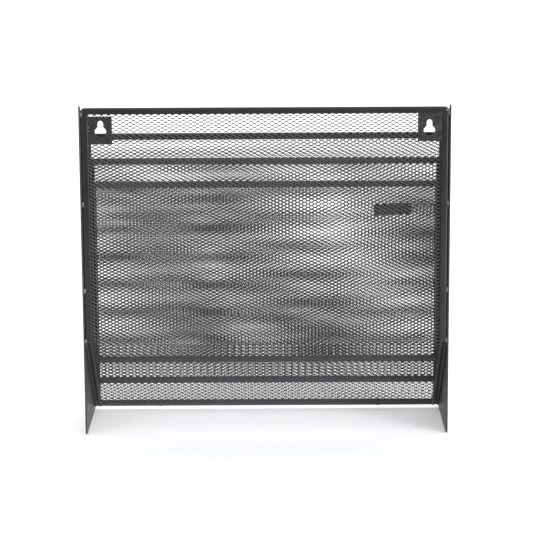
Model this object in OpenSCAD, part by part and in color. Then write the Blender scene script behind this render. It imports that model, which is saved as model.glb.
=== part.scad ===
// Magazine file holder, three stepped pockets, for a desk or a wall.
// Two plain sheet-steel side panels carry four rimmed expanded-mesh panels
// (back, two dividers, front) and a sloping mesh base. Two keyhole hanger
// plates sit in the upper rear corners.
//
// Frame: millimetres, +Z up, the front of the holder faces -Y, the wall side
// faces +Y. X = 0 and Y = 0 are the middle of the width and of the depth, and
// Z = 0 is the surface under the feet. "d" below is the depth measured from
// the wall side towards the front. Left and right are as seen from the front.

/* [Overall] */
// Overall width, outside to outside of the side panels
total_w = 317.5; // [250:0.5:360]
// Overall depth of the side panels
total_d = 92; // [92:0.5:120]
// Overall height, to the tips of the side panels' rear corners
total_h = 290; // [289:0.5:300]

/* [Side panels] */
// Thickness of the side panel sheet
side_t = 1.5; // [1:0.1:2.5]
// Corner radius at the front and rear of each foot
foot_r = 4; // [1:0.5:8]
// Corner radius at the panels' upper corners
top_r = 1.5; // [0.5:0.5:4]
// Drop of the panels' sloping top edge per millimetre of depth
top_slope = 0.9; // [0.8:0.01:0.9]

/* [Rims] */
// Width of the upright rims of the back frame and the dividers
rim_w = 6.5; // [4:0.1:10]
// Width of the upright rims of the front panel
front_rim_w = 5.2; // [4:0.1:10]
// Thickness of a rim, front to back
rim_t = 3.6; // [2.4:0.1:4.4]
// Height of the top rims and of the front bottom rim
rim_h = 5.6; // [3:0.1:7]
// Height of the dividers' bottom rims
foot_rim_h = 5.5; // [3:0.1:6]
// Edge radius of a rim's folded strip
rim_r = 1.1; // [0.3:0.1:1.2]
// Radius of the back frame's upper corners
frame_corner_r = 4; // [1:0.1:4]
// Gap from the wall plane to the rear face of the back frame
rear_inset = 0.8; // [0.4:0.1:2]

/* [Panels] */
// Depth of the first divider's middle plane
divider_1_d = 29; // [26:0.5:34]
// Depth of the second divider's middle plane
divider_2_d = 58; // [54:0.5:62]
// Depth of the front panel's middle plane
front_d = 87; // [83:0.5:88]
// Height of the back frame's top edge
back_top = 288.2; // [280:0.1:288.2]
// Height of the first divider's top edge
divider_1_top = 262.6; // [240:0.1:263]
// Height of the second divider's top edge
divider_2_top = 236.3; // [215:0.1:237]
// Height of the front panel's top edge
front_top = 210.8; // [190:0.1:211]
// Height of the front panel's bottom edge above the desk
front_bottom = 2.9; // [2:0.1:5]

/* [Base] */
// Height of the sloping base at the wall plane
base_rear_h = 82.3; // [80:0.1:84]
// Drop of the base per millimetre of depth
base_slope = 0.905; // [0.88:0.005:0.92]

/* [Mesh] */
// Thickness of the closed sheet that stands for each mesh panel
mesh_t = 0.5; // [0.4:0.1:0.8]

/* [Hangers] */
// Distance between the two keyholes
keyhole_pitch = 280.4; // [200:0.1:290]
// Height of the keyholes' large ends
keyhole_h = 268.4; // [262:0.1:270]
// Radius of a keyhole's large end, which passes a screw head
keyhole_r = 5.3; // [4:0.05:6]
// Half width of a keyhole's narrow slot, which holds the screw's shank
keyhole_slot_r = 2.65; // [1.5:0.05:3]
// Height of the slot's end above the large end, centre to centre
keyhole_rise = 6.3; // [5:0.1:7]
// Width of a hanger plate
hanger_w = 20.35; // [18:0.05:24]
// Height of a hanger plate
hanger_h = 24; // [20:0.1:24]
// Thickness of a hanger plate
hanger_t = 1; // [0.6:0.1:1]
// How far the right hanger plate sits below the top rim
hanger_drop_right = 1.6; // [0:0.1:3]
// How far the left hanger plate sits below the top rim
hanger_drop_left = 0; // [0:0.1:3]

/* [Badge] */
// Width of the blank badge plate on the front mesh
badge_w = 34; // [20:0.5:40]
// Height of the badge plate
badge_h = 10.6; // [6:0.1:14]
// Thickness of the badge plate
badge_t = 1; // [0.6:0.1:1.4]
// Position of the badge's middle across the holder
badge_x = -114; // [-130:0.5:0]
// Height of the badge's middle
badge_z = 184.5; // [150:0.5:190]
// Lean of the badge in degrees, anticlockwise as seen from the front
badge_lean = -2.5; // [-5:0.5:5]

/* [Welds] */
// Radius of a tack weld's fillet
weld_r = 0.8; // [0.4:0.1:1]
// Length of a tack weld
weld_l = 4.2; // [2:0.1:6]

/* [Hidden] */

$fn = 48;

// Half widths: outside, inside of the side sheets, and inside of the rims
half_w = total_w / 2;
in_w = half_w - side_t;
mesh_w = in_w - rim_w;
front_mesh_w = in_w - front_rim_w;
yc = total_d / 2;

// Where the side panel's straight edges would meet, before the tip is rounded
apex_h = total_h - top_r + top_r / tan(atan(1 / top_slope) / 2);

// Back frame: rear face, front face and the mesh plane inside it
back_d0 = rear_inset;
back_d1 = rear_inset + rim_t;
back_mesh_d = rear_inset + rim_t / 2;

// Sloping base: thickness of its rims and of its mesh measured upright
base_angle = atan(base_slope);
base_rim_up = rim_t / 2 / cos(base_angle);
base_mesh_up = mesh_t / 2 / cos(base_angle);
back_foot_h = base_h(back_d0) + 1.2;

// Undersides of the two dividers, standing just on the base mesh
divider_1_bottom = base_h(divider_1_d - rim_t / 2) + base_mesh_up + 0.2;
divider_2_bottom = base_h(divider_2_d - rim_t / 2) + base_mesh_up + 0.2;

// Hanger plates lie just behind the back mesh
hanger_d1 = back_mesh_d - mesh_t / 2;
hanger_d0 = hanger_d1 - hanger_t;
window_margin = 1.6;

sheet_col = [0.10, 0.10, 0.105];
rim_col = [0.13, 0.13, 0.135];
mesh_col = [0.17, 0.17, 0.175];

// Height of the base's middle plane at depth d
function base_h(d) = base_rear_h - base_slope * d;

// Unit vector from a to b
function unit(a, b) = (b - a) / norm(b - a);

// ------------------------------------------------------------ 2D helpers

// Convex polygon, anticlockwise, with a true arc of radius r[i] at point i
module rounded_poly(p, r) {
    n = len(p);
    t = [for (i = [0 : n - 1])
        let (u = unit(p[(i + n - 1) % n], p[i]), v = unit(p[i], p[(i + 1) % n]))
        r[i] * tan(acos(max(-1, min(1, u * v))) / 2)];
    polygon([for (i = [0 : n - 1], k = [0, 1])
        k == 0 ? p[i] - unit(p[(i + n - 1) % n], p[i]) * t[i]
               : p[i] + unit(p[i], p[(i + 1) % n]) * t[i]]);
    for (i = [0 : n - 1])
        let (u = unit(p[(i + n - 1) % n], p[i]))
        translate(p[i] - u * t[i] + [-u[1], u[0]] * r[i]) circle(r[i]);
}

// Rectangle from a to b with round corners
module round_rect(a, b, r) {
    translate([a[0] + r, a[1]]) square([b[0] - a[0] - 2 * r, b[1] - a[1]]);
    translate([a[0], a[1] + r]) square([b[0] - a[0], b[1] - a[1] - 2 * r]);
    for (x = [a[0] + r, b[0] - r], y = [a[1] + r, b[1] - r])
        translate([x, y]) circle(r);
}

// ------------------------------------------------------------ 3D helpers

// Extrudes a profile drawn as [depth, height] from x0 to x1
module across(x0, x1) {
    translate([x0, yc, 0])
        multmatrix([[0, 0, 1, 0], [-1, 0, 0, 0], [0, 1, 0, 0], [0, 0, 0, 1]])
            linear_extrude(x1 - x0) children();
}

// Level rim bar from x0 to x1, folded edges rounded
module level_bar(x0, x1, d0, d1, h0, h1) {
    across(x0, x1) round_rect([d0, h0], [d1, h1], rim_r);
}

// Upright rim bar, outer and inner edges rounded
module upright_bar(x0, x1, d0, d1, h0, h1) {
    translate([0, 0, h0]) linear_extrude(h1 - h0)
        round_rect([x0, yc - d1], [x1, yc - d0], rim_r);
}

// Upright rim bar whose foot is cut to the slope of the base rims
module footed_bar(x0, x1, d, top) {
    intersection() {
        upright_bar(x0, x1, d - rim_t / 2, d + rim_t / 2, 0, top);
        across(x0 - 1, x1 + 1) polygon([
            [d - rim_t, base_h(d - rim_t) + base_rim_up],
            [d + rim_t, base_h(d + rim_t) + base_rim_up],
            [d + rim_t, top + 1], [d - rim_t, top + 1]]);
    }
}

// Flat upright sheet at depth d, half width w
module sheet(d, h0, h1, w) {
    translate([-w, yc - d - mesh_t / 2, h0])
        cube([2 * w, mesh_t, h1 - h0]);
}

// Left or right copy of something built on the +X side
module on_side(s) {
    if (s > 0) children(); else mirror([1, 0, 0]) children();
}

// ------------------------------------------------------------ side panels

// Plain sheet with its foot in one piece, sloping top edge
module side_panel(s) {
    color(sheet_col) on_side(s)
        across(in_w, half_w) rounded_poly(
            [[0, 0], [total_d, 0], [total_d, apex_h - top_slope * total_d],
             [0, apex_h]],
            [foot_r, foot_r, top_r, top_r]);
}

module side_panel_left() side_panel(-1);
module side_panel_right() side_panel(1);

// ------------------------------------------------------------ back frame

// Top rim of the back frame, with round upper corners
module back_top_rim() {
    color(rim_col)
        translate([0, yc - back_d0, 0]) rotate([90, 0, 0]) linear_extrude(rim_t)
            intersection() {
                translate([-in_w, back_top - rim_h]) square([2 * in_w, rim_h]);
                round_rect([-in_w, back_top - 3 * rim_h], [in_w, back_top], frame_corner_r);
            }
}

module back_side_rim(s) {
    color(rim_col) on_side(s)
        upright_bar(mesh_w, in_w, back_d0, back_d1, back_foot_h, back_top - rim_h);
}

module back_side_rim_left() back_side_rim(-1);
module back_side_rim_right() back_side_rim(1);

// Back mesh as a closed sheet, with a window behind each hanger plate
module back_mesh() {
    z0 = base_h(back_mesh_d - mesh_t / 2) + base_mesh_up + 0.05;
    color(mesh_col) difference() {
        sheet(back_mesh_d, z0, back_top - rim_h, mesh_w);
        for (s = [-1, 1])
            translate([s * (mesh_w - hanger_w / 2) - hanger_w / 2 + window_margin,
                       yc - back_mesh_d - 2, hanger_z0(s) + window_margin])
                cube([hanger_w - 2 * window_margin, 4, hanger_h - 2 * window_margin]);
    }
}

// ------------------------------------------------------------ base

// Side rim of the sloping base, from the back frame down to the front rim
module base_side_rim(s) {
    d1 = front_d - rim_t / 2;
    up = base_rim_up;
    color(rim_col) on_side(s) across(mesh_w, in_w) rounded_poly(
        [[back_d0, base_h(back_d0) - up], [d1, base_h(d1) - up],
         [d1, base_h(d1) + up],
         [(base_rear_h + up - back_foot_h) / base_slope, back_foot_h],
         [back_d0, back_foot_h]],
        [1.5, 0.3, 0.3, 0.3, 0.3]);
}

module base_side_rim_left() base_side_rim(-1);
module base_side_rim_right() base_side_rim(1);

module base_mesh() {
    d0 = back_mesh_d - mesh_t / 2;
    d1 = front_d - rim_t / 2;
    up = base_mesh_up;
    color(mesh_col) across(-mesh_w, mesh_w) polygon(
        [[d0, base_h(d0) - up], [d1, base_h(d1) - up],
         [d1, base_h(d1) + up], [d0, base_h(d0) + up]]);
}

// ------------------------------------------------------------ dividers

module top_rim(d, top) {
    color(rim_col) level_bar(-in_w, in_w, d - rim_t / 2, d + rim_t / 2, top - rim_h, top);
}

module divider_bottom_rim(d, bottom) {
    color(rim_col) level_bar(-mesh_w, mesh_w, d - rim_t / 2, d + rim_t / 2,
                             bottom, bottom + foot_rim_h);
}

module divider_side_rim(s, d, top) {
    color(rim_col) on_side(s) footed_bar(mesh_w, in_w, d, top - rim_h);
}

module divider_1_top_rim() top_rim(divider_1_d, divider_1_top);
module divider_1_bottom_rim() divider_bottom_rim(divider_1_d, divider_1_bottom);
module divider_1_side_rim_left() divider_side_rim(-1, divider_1_d, divider_1_top);
module divider_1_side_rim_right() divider_side_rim(1, divider_1_d, divider_1_top);
module divider_1_mesh() {
    color(mesh_col) sheet(divider_1_d, divider_1_bottom + foot_rim_h,
                          divider_1_top - rim_h, mesh_w);
}

module divider_2_top_rim() top_rim(divider_2_d, divider_2_top);
module divider_2_bottom_rim() divider_bottom_rim(divider_2_d, divider_2_bottom);
module divider_2_side_rim_left() divider_side_rim(-1, divider_2_d, divider_2_top);
module divider_2_side_rim_right() divider_side_rim(1, divider_2_d, divider_2_top);
module divider_2_mesh() {
    color(mesh_col) sheet(divider_2_d, divider_2_bottom + foot_rim_h,
                          divider_2_top - rim_h, mesh_w);
}

// ------------------------------------------------------------ front panel

module front_top_rim() top_rim(front_d, front_top);

module front_bottom_rim() {
    color(rim_col) level_bar(-in_w, in_w, front_d - rim_t / 2, front_d + rim_t / 2,
                             front_bottom, front_bottom + rim_h);
}

module front_side_rim(s) {
    color(rim_col) on_side(s)
        upright_bar(front_mesh_w, in_w, front_d - rim_t / 2, front_d + rim_t / 2,
                    front_bottom + rim_h, front_top - rim_h);
}

module front_side_rim_left() front_side_rim(-1);
module front_side_rim_right() front_side_rim(1);
module front_mesh() {
    color(mesh_col) sheet(front_d, front_bottom + rim_h, front_top - rim_h, front_mesh_w);
}

// ------------------------------------------------------------ hangers

// Lower edge of a hanger plate
function hanger_z0(s) = back_top - rim_h - hanger_h
    - (s > 0 ? hanger_drop_right : hanger_drop_left);

// Keyhole: a round lower end with a slot running up from it
module keyhole() {
    circle(keyhole_r);
    translate([-keyhole_slot_r, 0]) square([2 * keyhole_slot_r, keyhole_rise]);
    translate([0, keyhole_rise]) circle(keyhole_slot_r);
}

// Plate with a keyhole: the large end is low and the slot runs up from it
module hanger_plate(s) {
    x0 = s > 0 ? mesh_w - hanger_w : -mesh_w;
    color(sheet_col)
        translate([0, yc - hanger_d0, 0]) rotate([90, 0, 0])
            linear_extrude(hanger_t) difference() {
                translate([x0, hanger_z0(s)]) square([hanger_w, hanger_h]);
                translate([s * keyhole_pitch / 2, keyhole_h]) keyhole();
            }
}

module hanger_plate_left() hanger_plate(-1);
module hanger_plate_right() hanger_plate(1);

// ------------------------------------------------------------ badge

// Blank badge plate, fixed to the outside of the front mesh
module badge_plate() {
    color([0.08, 0.08, 0.08])
        translate([badge_x, yc - front_d - mesh_t / 2, badge_z])
            rotate([90, 0, 0]) rotate([0, 0, badge_lean])
                linear_extrude(badge_t)
                    round_rect([-badge_w / 2, -badge_h / 2], [badge_w / 2, badge_h / 2], 1.2);
}

// ------------------------------------------------------------ welds

// Four tack welds up each rear edge, in the corner between the back frame
// and the side panel
module tack_welds() {
    color(rim_col) for (s = [-1, 1], z = [
            back_top - rim_h, total_h * 0.7065, total_h * 0.4455, base_rear_h + 2.2])
        on_side(s) translate([in_w, yc - back_d0, z - weld_l / 2])
            linear_extrude(weld_l) intersection() {
                circle(weld_r);
                translate([-weld_r - 1, 0]) square([weld_r + 1, weld_r + 1]);
            }
}

// ------------------------------------------------------------ drawing

side_panel_left();
side_panel_right();
back_top_rim();
back_side_rim_left();
back_side_rim_right();
back_mesh();
base_side_rim_left();
base_side_rim_right();
base_mesh();
divider_1_top_rim();
divider_1_bottom_rim();
divider_1_side_rim_left();
divider_1_side_rim_right();
divider_1_mesh();
divider_2_top_rim();
divider_2_bottom_rim();
divider_2_side_rim_left();
divider_2_side_rim_right();
divider_2_mesh();
front_top_rim();
front_bottom_rim();
front_side_rim_left();
front_side_rim_right();
front_mesh();
hanger_plate_left();
hanger_plate_right();
badge_plate();
tack_welds();
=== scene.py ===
"""Magazine file holder: the looks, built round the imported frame. Metres, +Z up, front towards -Y."""

import math

import bmesh
import bpy
import numpy as np
from mathutils import Matrix, Vector

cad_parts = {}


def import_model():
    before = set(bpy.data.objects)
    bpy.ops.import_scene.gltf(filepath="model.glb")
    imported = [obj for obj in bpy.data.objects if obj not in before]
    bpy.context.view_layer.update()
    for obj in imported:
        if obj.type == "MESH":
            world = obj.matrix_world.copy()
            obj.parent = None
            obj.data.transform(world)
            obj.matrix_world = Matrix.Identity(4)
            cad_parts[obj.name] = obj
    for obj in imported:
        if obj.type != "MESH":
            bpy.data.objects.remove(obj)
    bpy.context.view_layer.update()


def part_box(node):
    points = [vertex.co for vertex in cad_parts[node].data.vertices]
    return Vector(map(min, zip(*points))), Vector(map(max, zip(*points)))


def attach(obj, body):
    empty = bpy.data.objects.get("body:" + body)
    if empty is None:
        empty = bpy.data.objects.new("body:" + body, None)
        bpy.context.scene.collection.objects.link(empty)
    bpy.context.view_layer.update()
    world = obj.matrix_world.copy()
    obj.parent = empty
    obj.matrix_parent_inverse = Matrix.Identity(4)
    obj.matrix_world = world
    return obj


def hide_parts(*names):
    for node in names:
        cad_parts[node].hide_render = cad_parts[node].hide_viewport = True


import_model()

MM = 0.001
scene = bpy.context.scene
scene.view_settings.view_transform = "Standard"
scene.view_settings.look = "None"
scene.view_settings.exposure = 0.0
scene.view_settings.gamma = 1.0


# ---------------------------------------------------------------- camera
CAM_X, CAM_Y, CAM_Z = -8.0, 1863.4, 522.5  # mm
PITCH, ROLL, F_PX = 11.8, 0.27, 2150.0

cam_data = bpy.data.cameras.new("camera")
cam = bpy.data.objects.new("camera", cam_data)
scene.collection.objects.link(cam)
cam_data.sensor_fit = "HORIZONTAL"
cam_data.sensor_width = 36.0
cam_data.lens = F_PX * 36.0 / 550.0
cam_data.clip_start, cam_data.clip_end = 0.05, 200.0
cam_data.dof.use_dof = False
p, r = math.radians(PITCH), math.radians(ROLL)
view = Vector((0.0, -math.cos(p), -math.sin(p)))
right = Vector((-1.0, 0.0, 0.0))
up = right.cross(view)
# a clockwise turn of the camera shows the object turned anticlockwise
right_r = right * math.cos(r) - up * math.sin(r)
up_r = up * math.cos(r) + right * math.sin(r)
rot = Matrix((right_r, up_r, -view)).transposed()
cam.rotation_mode = "QUATERNION"
cam.rotation_quaternion = rot.to_quaternion()
cam.location = Vector((CAM_X, CAM_Y, CAM_Z)) * MM
scene.camera = cam


# ---------------------------------------------------------------- sizes from the frame, in mm
def mmbox(node):
    lo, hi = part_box(node)
    return np.array(lo) * 1000.0, np.array(hi) * 1000.0


lo, hi = mmbox("side_panel_right")
HALF_W, IN_W = hi[0], lo[0]
YC = hi[1]  # y = YC - depth
TOTAL_D, TOTAL_H = hi[1] - lo[1], hi[2]
lo, hi = mmbox("back_side_rim_right")
MESH_W = lo[0]
RIM_T = hi[1] - lo[1]
BACK_D = YC - (lo[1] + hi[1]) / 2
BACK_FOOT = lo[2]
lo, hi = mmbox("back_top_rim")
BACK_TOP, RIM_H = hi[2], hi[2] - lo[2]


def depth_of(node):
    lo, hi = mmbox(node)
    return YC - (lo[1] + hi[1]) / 2


def zs(node):
    lo, hi = mmbox(node)
    return lo[2], hi[2]


# the base's middle plane, from the ends of the sheet that stands for its mesh
blo, bhi = mmbox("base_mesh")
base_d0, base_d1 = YC - bhi[1], YC - blo[1]
SLOPE = 0.905
UP = 0.25 / math.cos(math.atan(SLOPE))
BASE_H0 = blo[2] + UP + SLOPE * base_d1
BASE_ANGLE = math.atan(SLOPE)


def base_h(d):
    return BASE_H0 - SLOPE * d


def world(d, h, x):
    return np.array([x, YC - d, h])


# ---------------------------------------------------------------- materials
def new_material(name, rough, spec=0.5, coat=0.0):
    m = bpy.data.materials.new(name)
    m.use_nodes = True
    nt = m.node_tree
    b = nt.nodes["Principled BSDF"]
    b.inputs["Roughness"].default_value = rough
    b.inputs["Specular IOR Level"].default_value = spec
    b.inputs["Coat Weight"].default_value = coat
    return m, nt, b


def noise(nt, scale, detail=2.0, rough=0.5, coord=None):
    n = nt.nodes.new("ShaderNodeTexNoise")
    n.inputs["Scale"].default_value = scale
    n.inputs["Detail"].default_value = detail
    n.inputs["Roughness"].default_value = rough
    if coord is not None:
        nt.links.new(coord, n.inputs["Vector"])
    return n


def ramp(nt, fac, stops):
    r = nt.nodes.new("ShaderNodeValToRGB")
    e = r.color_ramp.elements
    while len(e) < len(stops):
        e.new(0.5)
    for el, (pos, col) in zip(e, stops):
        el.position = pos
        el.color = (*col, 1.0) if len(col) == 3 else col
    nt.links.new(fac, r.inputs["Fac"])
    return r


def to_range(nt, fac, a, b):
    m = nt.nodes.new("ShaderNodeMapRange")
    m.inputs["To Min"].default_value = a
    m.inputs["To Max"].default_value = b
    nt.links.new(fac, m.inputs["Value"])
    return m


def powder_coat(name, dark, light, rough_lo, rough_hi, peel_mm=0.018, spec=0.5, drift=28.0):
    """Satin black powder coat: orange peel, a tone drift (drift is its noise scale) and a roughness drift."""
    m, nt, b = new_material(name, (rough_lo + rough_hi) / 2, spec)
    tc = nt.nodes.new("ShaderNodeTexCoord")
    obj = tc.outputs["Object"]
    slow = noise(nt, drift, 3.0, 0.55, obj)
    fine = noise(nt, 900.0, 2.0, 0.5, obj)
    mix = nt.nodes.new("ShaderNodeMath")
    mix.operation = "MULTIPLY_ADD"
    mix.inputs[1].default_value = 0.25
    nt.links.new(fine.outputs["Fac"], mix.inputs[0])
    sc = nt.nodes.new("ShaderNodeMath")
    sc.operation = "MULTIPLY"
    sc.inputs[1].default_value = 0.75
    nt.links.new(slow.outputs["Fac"], sc.inputs[0])
    nt.links.new(sc.outputs[0], mix.inputs[2])
    col = ramp(nt, mix.outputs[0], [(0.30, dark), (0.70, light)])
    nt.links.new(col.outputs["Color"], b.inputs["Base Color"])
    rr = to_range(nt, slow.outputs["Fac"], rough_lo, rough_hi)
    rr.inputs["From Min"].default_value = 0.3
    rr.inputs["From Max"].default_value = 0.7
    nt.links.new(rr.outputs["Result"], b.inputs["Roughness"])
    peel = noise(nt, 620.0, 2.5, 0.55, obj)
    wave = noise(nt, 140.0, 1.0, 0.5, obj)
    add = nt.nodes.new("ShaderNodeMath")
    add.operation = "MULTIPLY_ADD"
    add.inputs[1].default_value = 0.6
    nt.links.new(wave.outputs["Fac"], add.inputs[0])
    nt.links.new(peel.outputs["Fac"], add.inputs[2])
    bump = nt.nodes.new("ShaderNodeBump")
    bump.inputs["Strength"].default_value = 0.5
    bump.inputs["Distance"].default_value = peel_mm * MM
    nt.links.new(add.outputs[0], bump.inputs["Height"])
    nt.links.new(bump.outputs["Normal"], b.inputs["Normal"])
    return m


MAT_PANEL = powder_coat("panel_powder_coat", (0.015, 0.015, 0.0162), (0.023, 0.023, 0.0248), 0.42, 0.52, 0.02, 0.5)
MAT_RIM = powder_coat("rim_powder_coat", (0.008, 0.008, 0.0087), (0.015, 0.015, 0.0161), 0.30, 0.40, 0.015, 0.42)
# lighter, bluer copy of the rim coat for the low strips: painted light standing for the bounce from the pale floor
MAT_RIM_PAINTED_FLOOR_LIGHT = powder_coat("low_rim_coat_painted_floor_light", (0.036, 0.039, 0.0435), (0.048, 0.0515, 0.057), 0.30, 0.40, 0.015, 0.50)
# the mesh coat is lighter than the rim coat: painted light for the light the tilted strand facets catch
MAT_MESH = powder_coat("mesh_powder_coat", (0.026, 0.026, 0.0277), (0.039, 0.039, 0.0415), 0.36, 0.46, 0.010, 0.55)
MAT_HANGER = powder_coat("hanger_powder_coat", (0.009, 0.009, 0.0095), (0.026, 0.026, 0.0272), 0.34, 0.50, 0.050, 0.32, 330.0)
MAT_BADGE = powder_coat("badge_paint", (0.028, 0.028, 0.0297), (0.036, 0.036, 0.038), 0.28, 0.36, 0.006)
# lighter copy of the hanger coat for the plate at -X: painted light from that side, and its wider tone mottle is partly
# random tone and partly painted sheen
MAT_HANGER_PAINTED_SIDE_LIGHT = powder_coat("hanger_coat_painted_side_light_and_sheen", (0.005, 0.005, 0.0055), (0.034, 0.034, 0.036), 0.28, 0.55, 0.070, 0.36, 330.0)
# weld beads and spot welds: the same black coat painted much lighter, a painted highlight for their glint
MAT_WELD_PAINTED_HIGHLIGHT = powder_coat("weld_coat_painted_highlight", (0.050, 0.050, 0.051), (0.110, 0.108, 0.106), 0.20, 0.32, 0.030)


# ---------------------------------------------------------------- mesh building
def make_object(name, verts_mm, faces, mat, replaces=(), smooth=True, angle=32.0, recalc=True):
    me = bpy.data.meshes.new(name)
    me.from_pydata([tuple(v * MM) for v in np.asarray(verts_mm, float)], [], [tuple(f) for f in faces])
    me.validate()
    if recalc:
        bm = bmesh.new()
        bm.from_mesh(me)
        bmesh.ops.recalc_face_normals(bm, faces=bm.faces)
        bm.to_mesh(me)
        bm.free()
    if smooth:
        me.polygons.foreach_set("use_smooth", [True] * len(me.polygons))
        me.set_sharp_from_angle(angle=math.radians(angle))
    me.materials.append(mat)
    me.update()
    o = bpy.data.objects.new(name, me)
    scene.collection.objects.link(o)
    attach(o, "root")
    if replaces:
        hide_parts(*replaces)
    return o


def arc(cx, cy, r, a0, a1, n):
    return [
        (cx + r * math.cos(math.radians(a0 + (a1 - a0) * i / n)), cy + r * math.sin(math.radians(a0 + (a1 - a0) * i / n)))
        for i in range(n + 1)
    ]


# Folded strip: (from, offset, thickness) where "o" counts from the outer edge and "i" back from the inner edge
def strip_profile(t, hem=False, gap=0.52, groove=2.5):
    """Section of the strip crimped over the mesh edge: round fold outside, two flanges, lips that close on the mesh."""
    hw = t / 2
    pts = []
    # the base strips end in a round hem with a groove inside it
    bead = [(4.0, hw - 0.02), (3.75, hw - 0.35), (3.4, hw - 1.0), (2.9, hw - 1.35), (2.4, hw - 1.25), (2.1, hw - 0.85),
            (1.9, hw - 0.45), (1.6, hw - 0.14), (1.2, hw - 0.02), (0.8, hw), (0.4, hw - 0.03), (0.15, hw - 0.10), (0.0, hw - 0.22)]
    fold = [(2.25, hw), (2.0, hw - 0.02), (1.72, hw - 0.09), (0.62, hw - 0.53), (0.34, hw - 0.68), (0.12, hw - 0.92), (0.0, hw - 1.25)]
    pts += [("o", a, b) for a, b in (bead if hem else fold)]  # rear shoulder
    pts += [("o", a, -b) for a, b in reversed(fold)]  # front shoulder
    low = [(1.2, -hw), (0.85, -hw + 0.02), (0.52, -hw + 0.10), (0.25, -hw + 0.28), (0.07, -hw + 0.55), (0.0, -hw + 0.85)]
    pts += [("i", a, b) for a, b in low]
    pts += [("i", 0.0, -gap), ("i", groove, -gap), ("i", groove, gap), ("i", 0.0, gap)]
    pts += [("i", a, -b) for a, b in reversed(low)]
    return pts


def sweep(sections, prof):
    """sections: (outer point, inner point, normal vector) in mm. Returns closed verts and faces with end caps."""
    verts = []
    for O, I, N in sections:
        O, I, N = map(np.asarray, (O, I, N))
        d = I - O
        d = d / np.linalg.norm(d)
        for where, a, w in prof:
            verts.append((O + d * a if where == "o" else I - d * a) + N * w)
    n, k = len(prof), len(sections)
    faces = []
    for s in range(k - 1):
        for j in range(n):
            a, b = s * n + j, s * n + (j + 1) % n
            faces.append((a, b, b + n, a + n))
    faces.append(tuple(range(n)))
    faces.append(tuple(range((k - 1) * n + n - 1, (k - 1) * n - 1, -1)))
    return verts, faces


PROF = strip_profile(RIM_T)
PROF_BASE = strip_profile(RIM_T, hem=True)
REAR = np.array([0.0, 1.0, 0.0])


def frame_top(name, d, top, width_side, rise, r_out, node):
    """Top rim with the two round corners that turn down into the side rims."""
    y = YC - d
    secs = []
    z_in = top - rise
    nseg = 8
    for s in (-1, 1):
        part = []
        x_in = s * (IN_W - width_side)
        cin = (x_in, y, z_in)
        part.append(((s * IN_W, y, z_in), cin, REAR))
        cx, cz = s * (IN_W - r_out), top - r_out
        for i in range(nseg + 1):
            a = math.radians(90.0 * i / nseg)
            part.append(((cx + s * r_out * math.cos(a), y, cz + r_out * math.sin(a)), cin, REAR))
        part.append(((x_in, y, top), cin, REAR))
        # joints at the exact corner directions stay apart so the fold has a crease
        secs.append(part)
    left, rightp = secs[0], secs[1]
    x0, x1 = -(IN_W - width_side), (IN_W - width_side)
    mids = []
    for i in range(1, 12):
        x = x0 + (x1 - x0) * i / 12
        mids.append(((x, y, top), (x, y, z_in), REAR))
    allsec = left + mids + list(reversed(rightp))
    v, f = sweep(allsec, PROF)
    return make_object(name, v, f, MAT_RIM, (node,))


def upright(name, s, d, h0, h1, node, slope_foot=False, x_in=None):
    y = YC - d
    secs = []
    x_in = MESH_W if x_in is None else x_in
    n0 = REAR if not slope_foot else np.array([0.0, 1.0, SLOPE])
    for i in range(9):
        h = h0 + (h1 - h0) * i / 8
        secs.append(((s * IN_W, y, h), (s * x_in, y, h), n0 if i == 0 else REAR))
    v, f = sweep(secs, PROF)
    return make_object(name, v, f, MAT_RIM, (node,))


def level(name, d, h_out, h_in, x0, x1, node, n=12, sleeves=()):
    """Level strip; a sleeve is a narrow wrap over the strip where its ends meet."""
    y = YC - d
    secs = []
    for i in range(n + 1):
        x = x0 + (x1 - x0) * i / n
        secs.append(((x, y, h_out), (x, y, h_in), REAR))
    v, f = sweep(secs, PROF)
    for a, b in sleeves:
        wrap = [((x, y, h_out - k), (x, y, h_in + k), REAR * (1 + 0.5 * k))
                for x, k in ((a, 0.05), (a + 0.25, 0.3), (b - 0.25, 0.3), (b, 0.05))]
        v2, f2 = sweep(wrap, PROF)
        f += [tuple(q + len(v) for q in g) for g in f2]
        v += v2
    # the low strips take the lighter copy of the rim coat, painted floor-bounce light
    return make_object(name, v, f, MAT_RIM_PAINTED_FLOOR_LIGHT, (node,))


# back frame
SIDE_RIM_W = IN_W - MESH_W
frame_top("back_top_strip", BACK_D, BACK_TOP, SIDE_RIM_W, RIM_H, 4.0, "back_top_rim")


# back side strips, and their run on down the slope of the base, bent in one radius
def bent_path():
    """(depth, height, normal) along the middle of the back strip and the base strip."""
    Rb = 1.95
    turn = math.pi / 2 - BASE_ANGLE
    tl = Rb * math.tan(turn / 2)
    hc = base_h(BACK_D)
    pts = []
    start = hc + tl
    n = 10
    for i in range(n + 1):
        a = turn * i / n
        # centre of the bend lies on the pocket side
        d = BACK_D + Rb - Rb * math.cos(a)
        h = start - Rb * math.sin(a)
        pts.append((d, h, (-math.cos(a), -math.sin(a))))  # normal to the rear in (d, h)
    return start, pts


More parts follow.
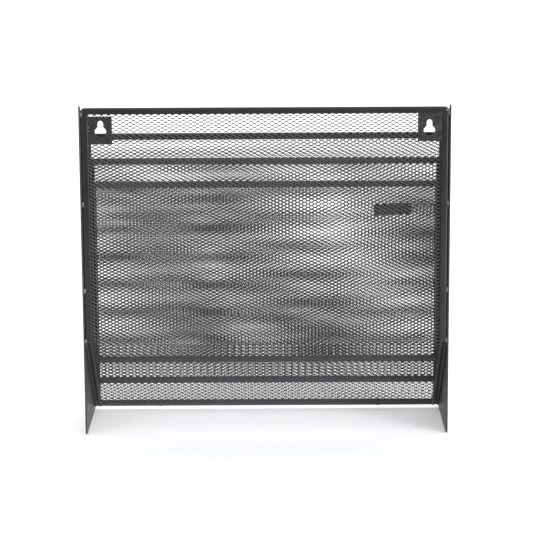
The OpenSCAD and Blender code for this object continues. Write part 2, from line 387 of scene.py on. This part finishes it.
BEND_TOP, BEND = bent_path()
for s, side in ((-1, "left"), (1, "right")):
    upright(f"back_side_strip_{side}", s, BACK_D, BACK_FOOT, BACK_TOP - RIM_H, f"back_side_rim_{side}")
    secs = [((s * IN_W, YC - BACK_D, BACK_FOOT), (s * MESH_W, YC - BACK_D, BACK_FOOT), REAR)]
    for d, h, (nd, nh) in BEND:
        secs.append(((s * IN_W, YC - d, h), (s * MESH_W, YC - d, h), (0.0, -nd, nh)))
    d_end = depth_of("front_side_rim_right") - RIM_T / 2
    nd, nh = -math.sin(BASE_ANGLE), -math.cos(BASE_ANGLE)
    d0 = BEND[-1][0]
    for i in range(1, 8):
        d = d0 + (d_end - d0) * i / 8
        secs.append(((s * IN_W, YC - d, base_h(d)), (s * MESH_W, YC - d, base_h(d)), (0.0, -nd, nh)))
    # the last section is cut upright against the front bottom rim
    k = 1.0 / math.cos(BASE_ANGLE)
    secs.append(((s * IN_W, YC - d_end, base_h(d_end)), (s * MESH_W, YC - d_end, base_h(d_end)), (0.0, 0.0, -k)))
    v, f = sweep(secs, PROF_BASE)
    make_object(f"base_side_strip_{side}", v, f, MAT_RIM, (f"base_side_rim_{side}",))

# dividers
for n in (1, 2):
    d = depth_of(f"divider_{n}_top_rim")
    z0, z1 = zs(f"divider_{n}_top_rim")
    frame_top(f"divider_{n}_top_strip", d, z1, SIDE_RIM_W, z1 - z0, 3.0, f"divider_{n}_top_rim")
    b0, b1 = zs(f"divider_{n}_bottom_rim")
    level(f"divider_{n}_bottom_strip", d, b0, b1, -MESH_W, MESH_W, f"divider_{n}_bottom_rim")
    foot = base_h(d) + RIM_T / 2 / math.cos(BASE_ANGLE)
    for s, side in ((-1, "left"), (1, "right")):
        upright(f"divider_{n}_side_strip_{side}", s, d, foot, z0, f"divider_{n}_side_rim_{side}", True)

# front
d = depth_of("front_top_rim")
z0, z1 = zs("front_top_rim")
FRONT_MESH_W = mmbox("front_side_rim_right")[0][0]
frame_top("front_top_strip", d, z1, IN_W - FRONT_MESH_W, z1 - z0, 3.0, "front_top_rim")
b0, b1 = zs("front_bottom_rim")
level("front_bottom_strip", d, b0, b1, -IN_W, IN_W, "front_bottom_rim", sleeves=((-103.4, -100.2), (95.6, 98.4)))
for s, side in ((-1, "left"), (1, "right")):
    upright(f"front_side_strip_{side}", s, d, b1, z0, f"front_side_rim_{side}", x_in=FRONT_MESH_W)


# ---------------------------------------------------------------- side panels
def rounded_outline(pts, radii, seg=8):
    out = []
    n = len(pts)
    for i in range(n):
        a, b, c = (np.array(pts[j % n], float) for j in (i - 1, i, i + 1))
        u, v = (b - a) / np.linalg.norm(b - a), (c - b) / np.linalg.norm(c - b)
        turn = math.acos(max(-1, min(1, float(u @ v))))
        r = radii[i]
        t = r * math.tan(turn / 2)
        nrm = np.array([-u[1], u[0]])
        cen = b - u * t + nrm * r
        s0 = b - u * t - cen
        for k in range(seg + 1):
            ang = turn * k / seg
            co, si = math.cos(ang), math.sin(ang)
            out.append(cen + np.array([s0[0] * co - s0[1] * si, s0[0] * si + s0[1] * co]))
    return out


def side_panel(name, s, node):
    top_r = 1.5
    top_slope = 0.9
    apex = TOTAL_H - top_r + top_r / math.tan(math.atan(1 / top_slope) / 2)
    outline = rounded_outline(
        [(0, 0), (TOTAL_D, 0), (TOTAL_D, apex - top_slope * TOTAL_D), (0, apex)], [4.0, 4.0, 1.5, top_r], 8
    )
    # rings across the thickness: a small round edge each side
    e = 0.42
    t = HALF_W - IN_W
    rings = []
    steps = 4
    for k in range(steps + 1):
        a = math.pi / 2 * k / steps
        rings.append((e - e * math.sin(a), e - e * math.cos(a)))  # (inset, offset from inner face)
    prof = [(ins, off) for ins, off in rings] + [(ins, t - off) for ins, off in reversed(rings)]
    # inset outline along the inward normal
    pts = np.array(outline)
    nxt, prv = np.roll(pts, -1, 0), np.roll(pts, 1, 0)
    tang = nxt - prv
    tang /= np.linalg.norm(tang, axis=1)[:, None]
    inward = np.stack([-tang[:, 1], tang[:, 0]], 1)
    verts, faces = [], []
    n = len(pts)
    for ins, off in prof:
        q = pts + inward * ins
        for d, h in q:
            verts.append(world(d, h, s * (IN_W + off)))
    for k in range(len(prof) - 1):
        for j in range(n):
            a, b = k * n + j, k * n + (j + 1) % n
            faces.append((a, b, b + n, a + n))
    faces.append(tuple(range(n)))
    faces.append(tuple(range(len(prof) * n - 1, (len(prof) - 1) * n - 1, -1)))
    return make_object(name, verts, faces, MAT_PANEL, (node,), angle=40)


side_panel("side_sheet_left", -1, "side_panel_left")
side_panel("side_sheet_right", 1, "side_panel_right")


# ---------------------------------------------------------------- expanded mesh
def expanded_mesh(name, half_x, h_len, place, lwd, swd, ph, turn, node, bond=1.2, tip=0.13, half=0.25, t=0.36,
                  relief=0.2, tuck=(2.3, 2.3, 2.3), windows=()):
    """Watertight expanded metal. place(x, v, w) maps sheet coordinates (x across, v up the sheet from 0 to h_len,
    w out of the sheet to the rear) to mm. ph is the lattice phase, turn its small rotation in degrees, tuck the run of
    mesh under the side, lower and upper strips."""
    a = math.radians(turn)
    ca, sa = math.cos(a), math.sin(a)
    x_lo, x_hi = -half_x - tuck[0], half_x + tuck[0]
    v_lo, v_hi = -tuck[1], h_len + tuck[2]
    ni = int(2 * (x_hi - x_lo) / lwd) + 40
    nj = int(2 * (v_hi - v_lo) / swd) + 60
    I, J = np.meshgrid(np.arange(-ni, ni + 1), np.arange(-nj, nj + 1), indexing="ij")
    ok = (I + J) % 2 == 0
    X0 = I * lwd / 2 + ph[0]
    V0 = J * swd / 2 + ph[1]
    X = X0 * ca - V0 * sa
    V = X0 * sa + V0 * ca + h_len / 2
    ok &= (X > x_lo) & (X < x_hi) & (V > v_lo) & (V < v_hi)
    for wx0, wx1, wv0, wv1 in windows:
        ok &= ~((X > wx0) & (X < wx1) & (V > wv0) & (V < wv1))
    # number the nodes that are kept
    idx = -np.ones(ok.shape, int)
    idx[ok] = np.arange(ok.sum())
    P = np.stack([X[ok], V[ok]], 1)
    hexa = np.array([
        (bond / 2 + tip, 0.0, 0.0),  # R
        (bond / 2, half, -relief),  # UR
        (-bond / 2, half, -relief),  # UL
        (-bond / 2 - tip, 0.0, 0.0),  # L
        (-bond / 2, -half, relief),  # DL
        (bond / 2, -half, relief),  # DR
    ])
    hx = hexa[:, 0] * ca - hexa[:, 1] * sa
    hv = hexa[:, 0] * sa + hexa[:, 1] * ca
    n = len(P)
    front = np.stack([P[:, 0:1] + hx, P[:, 1:2] + hv, np.broadcast_to(hexa[:, 2], (n, 6))], 2).reshape(-1, 3)
    xyz = np.concatenate([front + [0, 0, t / 2], front - [0, 0, t / 2]])
    base = np.arange(n) * 6
    R, UR, UL, L, DL, DR = (base + k for k in range(6))
    tris = [np.stack(q, 1) for q in ((R, UR, DR), (UR, UL, DR), (UL, DL, DR), (UL, L, DL))]
    bounds_edges = []
    # strands up to the right and down to the right
    nb_ur = np.full(ok.shape, -1)
    nb_ur[:-1, :-1] = idx[1:, 1:]
    nb_dr = np.full(ok.shape, -1)
    nb_dr[:-1, 1:] = idx[1:, :-1]
    ur, dr = nb_ur[ok], nb_dr[ok]
    A = np.nonzero(ur >= 0)[0]
    B = ur[A]
    q = np.stack([R[A], DL[B], L[B], UR[A]], 1)
    tris += [q[:, [0, 1, 2]], q[:, [0, 2, 3]]]
    A2 = np.nonzero(dr >= 0)[0]
    B2 = dr[A2]
    q = np.stack([DR[A2], L[B2], UL[B2], R[A2]], 1)
    tris += [q[:, [0, 1, 2]], q[:, [0, 2, 3]]]
    F = np.concatenate(tris)
    # boundary edges get a wall
    E = np.concatenate([F[:, [0, 1]], F[:, [1, 2]], F[:, [2, 0]]])
    key = E[:, 0].astype(np.int64) * (6 * n) + E[:, 1]
    rev = E[:, 1].astype(np.int64) * (6 * n) + E[:, 0]
    border = E[~np.isin(key, rev)]
    off = 6 * n
    # F runs anticlockwise seen from +w, so +w faces keep the order and -w faces are turned over
    walls = np.concatenate([
        np.stack([border[:, 1], border[:, 0], border[:, 0] + off], 1),
        np.stack([border[:, 1], border[:, 0] + off, border[:, 1] + off], 1),
    ])
    faces = np.concatenate([F, F[:, ::-1] + off, walls])
    pts = place(xyz[:, 0], xyz[:, 1], xyz[:, 2]) * MM
    me = bpy.data.meshes.new(name)
    me.vertices.add(len(pts))
    me.vertices.foreach_set("co", pts.astype(np.float32).ravel())
    me.loops.add(faces.size)
    me.loops.foreach_set("vertex_index", faces.astype(np.int32).ravel())
    me.polygons.add(len(faces))
    me.polygons.foreach_set("loop_start", np.arange(0, faces.size, 3, dtype=np.int32))
    me.polygons.foreach_set("loop_total", np.full(len(faces), 3, np.int32))
    me.update(calc_edges=True)
    me.polygons.foreach_set("use_smooth", [False] * len(faces))
    me.materials.append(MAT_MESH)
    me.update()
    o = bpy.data.objects.new(name, me)
    scene.collection.objects.link(o)
    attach(o, "root")
    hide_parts(node)
    print(name, "faces", len(faces), "nodes", n)
    return o


def upright_place(d, h0):
    # seen from the rear +w is out of the sheet; x runs to +X and v up, so x, v, w is left-handed: flip x
    def place(x, v, w):
        return np.stack([-x, YC - d + w, h0 + v], 1)

    return place


def base_place(x, v, w):
    # v runs up the slope from the front bottom rim to the bend
    d1 = base_d1
    L = v
    d = d1 - L * math.cos(BASE_ANGLE)
    h = base_h(d1) + L * math.sin(BASE_ANGLE)
    # rear-facing normal of the slope in (d, h) is (-sin, -cos)
    return np.stack([-x, YC - (d - w * math.sin(BASE_ANGLE)), h - w * math.cos(BASE_ANGLE)], 1)


# windows behind the hanger plates, in the sheet's own coordinates (x is mirrored there)
MARGIN = 1.6
wins = []
bz0 = base_h(BACK_D)
for side in ("left", "right"):
    lo, hi = mmbox(f"hanger_plate_{side}")
    wins.append((-hi[0] + MARGIN, -lo[0] - MARGIN, lo[2] + MARGIN - bz0, hi[2] - MARGIN - bz0))

REAR_MESH = dict(bond=1.7, half=0.44, tip=0.17, relief=0.26)
IN_MESH = dict(bond=1.7, half=0.43, tip=0.15, relief=0.24)
BASE_MESH = dict(IN_MESH, lwd=6.05, swd=2.98, half=0.32, relief=0.0, t=0.28)
# each sheet has its own small pitch error, turn and phase, which set where the layers beat against each other
expanded_mesh("back_expanded_mesh", MESH_W, BACK_TOP - RIM_H - bz0, upright_place(BACK_D, bz0), lwd=6.0568, swd=3.2474,
              ph=(0.356, -2.862), turn=0.111, node="back_mesh", tuck=(2.3, 0.3, 2.3), windows=wins, **REAR_MESH)
for n, lwd, swd, ph, turn in ((1, 6.1105, 2.9373, (3.059, 2.682), 0.205), (2, 6.0260, 2.9365, (4.550, 0.663), -0.249)):
    d = depth_of(f"divider_{n}_mesh")
    z0, z1 = zs(f"divider_{n}_mesh")
    expanded_mesh(f"divider_{n}_expanded_mesh", MESH_W, z1 - z0, upright_place(d, z0), lwd=lwd, swd=swd, ph=ph,
                  turn=turn, node=f"divider_{n}_mesh", **IN_MESH)
d = depth_of("front_mesh")
z0, z1 = zs("front_mesh")
expanded_mesh("front_expanded_mesh", FRONT_MESH_W, z1 - z0, upright_place(d, z0), lwd=6.1245, swd=3.0063,
              ph=(4.676, 0.051), turn=0.246, node="front_mesh", **IN_MESH)
slope_len = (base_d1 - BACK_D) / math.cos(BASE_ANGLE)
expanded_mesh("base_expanded_mesh", MESH_W, slope_len, base_place, ph=(0.3, 0.7), turn=0.0, node="base_mesh",
              tuck=(2.3, 1.0, 0.3), **BASE_MESH)


# ---------------------------------------------------------------- hanger plates
def hanger(side, s):
    lo, hi = mmbox(f"hanger_plate_{side}")
    kx, kh = s * 140.2, 268.4
    kr, sr, rise, neck = 5.3, 2.4, 6.5, 3.5
    # bell-shaped keyhole outline, anticlockwise in (x, z)
    hole = [(0.91 * a, b) for a, b in arc(0, 0, kr, 172, 368, 34)]
    hole += [(sr, neck)]
    hole += arc(0, rise, sr, 0, 180, 16)
    hole += [(-sr, neck)]
    hole = [(kx + a, kh + b) for a, b in hole]
    outer = rounded_outline([(lo[0], lo[2]), (hi[0], lo[2]), (hi[0], hi[2]), (lo[0], hi[2])], [0.8] * 4, 5)
    outer = [tuple(p) for p in outer]
    bm = bmesh.new()
    y_rear, y_front = hi[1], lo[1]
    edges = []
    for ring in (outer, hole):
        vs = [bm.verts.new((x * MM, y_rear * MM, z * MM)) for x, z in ring]
        for i in range(len(vs)):
            edges.append(bm.edges.new((vs[i], vs[(i + 1) % len(vs)])))
    bmesh.ops.triangle_fill(bm, use_beauty=True, use_dissolve=False, edges=edges)
    bmesh.ops.dissolve_limit(bm, angle_limit=0.01, verts=bm.verts, edges=bm.edges)
    ext = bmesh.ops.extrude_face_region(bm, geom=list(bm.faces))
    moved = [g for g in ext["geom"] if isinstance(g, bmesh.types.BMVert)]
    bmesh.ops.translate(bm, verts=moved, vec=(0, (y_front - y_rear) * MM, 0))
    bmesh.ops.recalc_face_normals(bm, faces=bm.faces)
    me = bpy.data.meshes.new(f"hanger_{side}")
    bm.to_mesh(me)
    bm.free()
    # the plate at -X takes the lighter coat: painted side light and painted sheen
    me.materials.append(MAT_HANGER if s > 0 else MAT_HANGER_PAINTED_SIDE_LIGHT)
    o = bpy.data.objects.new(f"keyhole_hanger_{side}", me)
    scene.collection.objects.link(o)
    bev = o.modifiers.new("edge", "BEVEL")
    bev.width = 0.22 * MM
    bev.segments = 2
    bev.limit_method = "ANGLE"
    bev.angle_limit = math.radians(50)
    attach(o, "root")
    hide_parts(f"hanger_plate_{side}")
    return o


hanger("left", -1)
hanger("right", 1)


# ---------------------------------------------------------------- badge
def badge():
    w, h, t = 34.0, 10.6, 1.0
    lo, hi = mmbox("badge_plate")
    cx, cz = (lo[0] + hi[0]) / 2, (lo[2] + hi[2]) / 2
    y_back = hi[1]
    lean = math.radians(-2.5)
    rings = [(0.0, 0.0), (0.0, 0.62), (0.1, 0.84), (0.32, 0.97), (0.6, 1.0), (1.0, 1.0), (1.15, 0.93), (1.35, 0.86), (1.6, 0.84)]
    verts, faces = [], []
    seg = 7
    count = None
    for ins, out in rings:
        r = max(1.6 - ins, 0.35)
        ring = rounded_outline(
            [(-w / 2 + ins, -h / 2 + ins), (w / 2 - ins, -h / 2 + ins), (w / 2 - ins, h / 2 - ins), (-w / 2 + ins, h / 2 - ins)],
            [r] * 4, seg)
        count = len(ring)
        for x, z in ring:
            X = cx + x * math.cos(lean) - z * math.sin(lean)
            Z = cz + x * math.sin(lean) + z * math.cos(lean)
            verts.append((X, y_back - out * t, Z))
    for k in range(len(rings) - 1):
        for j in range(count):
            a, b = k * count + j, k * count + (j + 1) % count
            faces.append((a, b, b + count, a + count))
    faces.append(tuple(range(count)))
    faces.append(tuple(range(len(rings) * count - 1, (len(rings) - 1) * count - 1, -1)))
    return make_object("blank_badge", verts, faces, MAT_BADGE, ("badge_plate",), angle=50)


badge()


# ---------------------------------------------------------------- welds
def blob(center, radii, seed, nu=16, nv=10, rough=0.08):
    rng = np.random.default_rng(seed)
    k = rng.normal(size=(6, 3))
    ph = rng.uniform(0, 6.28, 6)
    verts, faces = [], []
    for i in range(nv + 1):
        th = math.pi * i / nv
        for j in range(nu):
            ph_ = 2 * math.pi * j / nu
            n = np.array([math.sin(th) * math.cos(ph_), math.sin(th) * math.sin(ph_), math.cos(th)])
            bump = 1 + rough * sum(math.sin(2.2 * float(kk @ n) + pp) for kk, pp in zip(k, ph)) / 2.2
            verts.append(np.array(center) + np.array(radii) * n * bump)
            if i in (0, nv):
                break
    # poles are single vertices
    top = 0
    rows = []
    idx = 1
    for i in range(1, nv):
        rows.append(list(range(idx, idx + nu)))
        idx += nu
    bottom = idx
    for j in range(nu):
        faces.append((top, rows[0][(j + 1) % nu], rows[0][j]))
        faces.append((bottom, rows[-1][j], rows[-1][(j + 1) % nu]))
    for a, b in zip(rows, rows[1:]):
        for j in range(nu):
            faces.append((a[j], a[(j + 1) % nu], b[(j + 1) % nu], b[j]))
    return verts, faces


def beads(name, specs, replaces=()):
    verts, faces = [], []
    for i, (c, rr) in enumerate(specs):
        v, f = blob(c, rr, 11 + i)
        o = len(verts)
        verts += list(v)
        faces += [tuple(q + o for q in g) for g in f]
    # the beads take the weld coat, whose light colour is a painted highlight
    return make_object(name, verts, faces, MAT_WELD_PAINTED_HIGHLIGHT, replaces, angle=180)


specs = []
for s in (-1, 1):
    for z in (BACK_TOP - RIM_H, TOTAL_H * 0.7065, TOTAL_H * 0.4455, 81.9 + 2.6):
        specs.append(((s * (IN_W - 0.2), YC - 0.75, z), (1.6, 0.75, 2.3)))
y_plate = mmbox("hanger_plate_left")[1][1]
for x, z in ((150.8, 271.7), (150.8, 268.2), (-150.8, 283.4), (-150.8, 270.4)):
    specs.append(((x, y_plate, z), (0.8, 0.4, 0.8)))
beads("tack_weld_beads", specs, ("tack_welds",))


# ---------------------------------------------------------------- floor and light
FLOOR_GLOW = 0.26  # the floor glows as well, in its own painted tone: painted light that lifts the shadow under the holder and keeps it soft


def floor():
    me = bpy.data.meshes.new("floor")
    s = 60.0
    me.from_pydata([(-s, -s, 0), (s, -s, 0), (s, s, 0), (-s, s, 0)], [], [(0, 1, 2, 3)])
    m = bpy.data.materials.new("floor_white_painted_light")
    m.use_nodes = True
    nt = m.node_tree
    b = nt.nodes["Principled BSDF"]
    b.inputs["Roughness"].default_value = 0.9
    b.inputs["Specular IOR Level"].default_value = 0.0
    # white in the picture, a little greyer towards the camera and falling to grey well behind it, more so on one side;
    # this tone is painted light and shade: the band under and just around the holder is painted lighter to lift its
    # shadow, and the grey well behind it is painted shade that dims what the rails reflect
    tc = nt.nodes.new("ShaderNodeTexCoord")
    sep = nt.nodes.new("ShaderNodeSeparateXYZ")
    nt.links.new(tc.outputs["Object"], sep.inputs[0])

    def along(axis, a, b):
        m = nt.nodes.new("ShaderNodeMapRange")
        m.interpolation_type = "SMOOTHSTEP"
        m.inputs["From Min"].default_value = a
        m.inputs["From Max"].default_value = b
        nt.links.new(sep.outputs[axis], m.inputs["Value"])
        return m.outputs["Result"]

    # painted light: a lighter band under and around the holder that lifts its shadow
    floor_painted_shadow_lift = ramp(nt, along("Y", -0.30, 0.12), [
                (0.0, (0.80, 0.80, 0.798)), (0.17, (0.825, 0.833, 0.842)), (0.44, (0.90, 0.915, 0.935)), (0.70, (0.945, 0.96, 0.98)),
        (0.86, (0.92, 0.935, 0.955)), (0.95, (0.845, 0.86, 0.88)), (1.0, (0.735, 0.75, 0.775))])
    # painted shade: dark floor well behind the holder, darker towards +X, for the rails to reflect
    floor_painted_far_shade = ramp(nt, along("X", -0.34, 0.34), [(0.0, (0.24, 0.244, 0.252)), (1.0, (0.06, 0.06, 0.063))])
    tone = nt.nodes.new("ShaderNodeMix")
    tone.data_type = "RGBA"
    nt.links.new(along("Y", 0.44, 1.0), tone.inputs["Factor"])
    nt.links.new(floor_painted_shadow_lift.outputs["Color"], tone.inputs[6])
    nt.links.new(floor_painted_far_shade.outputs["Color"], tone.inputs[7])
    nt.links.new(tone.outputs[2], b.inputs["Base Color"])
    # the floor's glow: painted light in the floor itself
    nt.links.new(tone.outputs[2], b.inputs["Emission Color"])
    b.inputs["Emission Strength"].default_value = FLOOR_GLOW
    me.materials.append(m)
    o = bpy.data.objects.new("floor", me)
    scene.collection.objects.link(o)
    return o


floor()


def studio_world():
    """White studio: plain surround, a wide soft light overhead and a softbox to each side of the camera."""
    w = bpy.data.worlds.new("studio")
    scene.world = w
    w.use_nodes = True
    nt = w.node_tree
    bg = nt.nodes["Background"]
    tc = nt.nodes.new("ShaderNodeTexCoord")
    total = None
    for az, el, r0, r1, gain in LIGHTS:
        a, e = math.radians(az), math.radians(el)
        # azimuth 0 is behind the camera (+Y), positive towards the right of the picture (-X)
        c = (-math.sin(a) * math.cos(e), math.cos(a) * math.cos(e), math.sin(e))
        dot = nt.nodes.new("ShaderNodeVectorMath")
        dot.operation = "DOT_PRODUCT"
        dot.inputs[1].default_value = c
        nt.links.new(tc.outputs["Generated"], dot.inputs[0])
        m = nt.nodes.new("ShaderNodeMapRange")
        m.interpolation_type = "SMOOTHSTEP"
        m.inputs["From Min"].default_value = math.cos(math.radians(r1))
        m.inputs["From Max"].default_value = math.cos(math.radians(r0))
        m.inputs["To Min"].default_value = 0.0
        m.inputs["To Max"].default_value = gain
        nt.links.new(dot.outputs["Value"], m.inputs["Value"])
        if total is None:
            base = nt.nodes.new("ShaderNodeMath")
            base.operation = "ADD"
            base.inputs[1].default_value = SURROUND
            nt.links.new(m.outputs["Result"], base.inputs[0])
            total = base
        else:
            add = nt.nodes.new("ShaderNodeMath")
            add.operation = "ADD"
            nt.links.new(total.outputs[0], add.inputs[0])
            nt.links.new(m.outputs["Result"], add.inputs[1])
            total = add
    comb = nt.nodes.new("ShaderNodeCombineColor")
    for k in ("Red", "Green", "Blue"):
        nt.links.new(total.outputs[0], comb.inputs[k])
    nt.links.new(comb.outputs["Color"], bg.inputs["Color"])
    bg.inputs["Strength"].default_value = STRENGTH


SURROUND, STRENGTH = 0.62, 0.90
# (azimuth, elevation, inner and outer radius in degrees, gain)
LIGHTS = [
    (0.0, 88.0, 20.0, 60.0, 0.6),
    (25.0, 48.0, 18.0, 40.0, 0.4),
    (47.0, 4.0, 8.0, 19.0, 30.0),
    (-45.0, 4.0, 6.0, 16.0, 8.0),
    (0.0, -5.0, 10.0, 30.0, -0.4),
    (180.0, 42.0, 25.0, 75.0, 0.9),
]
studio_world()
